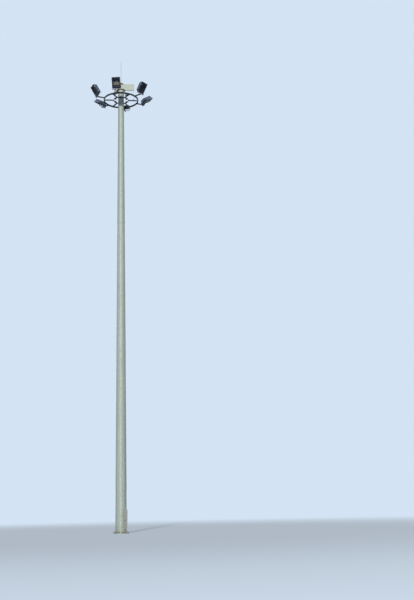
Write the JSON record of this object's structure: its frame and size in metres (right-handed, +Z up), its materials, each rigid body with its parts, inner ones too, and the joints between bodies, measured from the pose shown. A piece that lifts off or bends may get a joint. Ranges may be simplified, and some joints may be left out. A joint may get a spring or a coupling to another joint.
{
  "type": "high mast floodlight tower",
  "caption": "Tall tapered steel mast with a door at its foot and a winched ring of tilting floodlights below a pulley head.",
  "frame": {"origin": "centre of the base flange's underside, on the mast's axis", "axes": "+Z up along the mast, -Y out through the door at its foot"},
  "size_m": [4.2645, 4.372, 31.6983],
  "materials": {
    "galvanised_steel": "hot-dip galvanised, weathered to a pale matt grey",
    "door_steel": "galvanised",
    "lock_metal": "dull",
    "winch_paint": "machine enamel",
    "wire_rope": "galvanised strands",
    "head_steel": "galvanised",
    "sheave_plastic": "moulded",
    "rod_metal": "galvanised",
    "carriage_steel": "dark paint",
    "roller_rubber": "matt",
    "box_plastic": "enamel",
    "yoke_steel": "dark paint",
    "flood_body": "dark powder coat",
    "reflector_metal": "satin",
    "flood_glass": "clear"
  },
  "bodies": {
    "mast": {"base_flange": "galvanised_steel", "door_section": "galvanised_steel", "lower_shaft": "galvanised_steel", "middle_shaft": "galvanised_steel", "upper_shaft": "galvanised_steel", "door_frame": "door_steel", "winch_frame": "winch_paint", "winch_drum": "winch_paint", "hoist_ropes": "wire_rope", "compensator": "winch_paint", "head_frame": "head_steel", "sheaves": "sheave_plastic", "head_cap": "head_steel", "lightning_rod": "rod_metal"},
    "door": {"base_door": "door_steel", "door_lock": "lock_metal"},
    "carriage": {"carriage_ring": "carriage_steel", "guide_ring": "carriage_steel", "guide_rollers": "roller_rubber", "carriage_spokes": "carriage_steel", "suspension_ropes": "wire_rope", "junction_box": "box_plastic", "lamp_arms": "carriage_steel", "flood_yokes": "yoke_steel"},
    "flood_1": {"flood_housing_1": "flood_body", "flood_reflector_1": "reflector_metal", "flood_glass_1": "flood_glass"},
    "flood_2": {"flood_housing_2": "flood_body", "flood_reflector_2": "reflector_metal", "flood_glass_2": "flood_glass"},
    "flood_3": {"flood_housing_3": "flood_body", "flood_reflector_3": "reflector_metal", "flood_glass_3": "flood_glass"},
    "flood_4": {"flood_housing_4": "flood_body", "flood_reflector_4": "reflector_metal", "flood_glass_4": "flood_glass"},
    "flood_5": {"flood_housing_5": "flood_body", "flood_reflector_5": "reflector_metal", "flood_glass_5": "flood_glass"},
    "flood_6": {"flood_housing_6": "flood_body", "flood_reflector_6": "reflector_metal", "flood_glass_6": "flood_glass"}
  },
  "joints": [
    {"name": "door_hinge", "type": "hinge", "parent": "mast", "child": "door", "pos_m": [0.18, -0.3906, 0.9], "axis": [0, 0, 1], "range_deg": [0, 110]},
    {"name": "carriage_slide", "type": "slide", "parent": "mast", "child": "carriage", "axis": [0, 0, 1], "range_m": [-26.5, 0], "deforming": ["suspension_ropes"]},
    {"name": "flood_tilt_1", "type": "hinge", "parent": "carriage", "child": "flood_1", "pos_m": [-1.30228, -1.09274, 29.12408], "axis": [0.6428, -0.766, 0], "range_deg": [-25, 25]},
    {"name": "flood_tilt_2", "type": "hinge", "parent": "carriage", "child": "flood_2", "pos_m": [0.2952, -1.67417, 29.12408], "axis": [0.9848, 0.1736, 0], "range_deg": [-25, 25]},
    {"name": "flood_tilt_3", "type": "hinge", "parent": "carriage", "child": "flood_3", "pos_m": [1.59748, -0.58143, 29.12408], "axis": [0.342, 0.9397, 0], "range_deg": [-25, 25]},
    {"name": "flood_tilt_4", "type": "hinge", "parent": "carriage", "child": "flood_4", "pos_m": [1.30228, 1.09274, 29.12408], "axis": [-0.6428, 0.766, 0], "range_deg": [-25, 25]},
    {"name": "flood_tilt_5", "type": "hinge", "parent": "carriage", "child": "flood_5", "pos_m": [-0.2952, 1.67417, 29.12408], "axis": [-0.9848, -0.1736, 0], "range_deg": [-25, 25]},
    {"name": "flood_tilt_6", "type": "hinge", "parent": "carriage", "child": "flood_6", "pos_m": [-1.59748, 0.58143, 29.12408], "axis": [-0.342, -0.9397, 0], "range_deg": [-25, 25]}
  ]
}
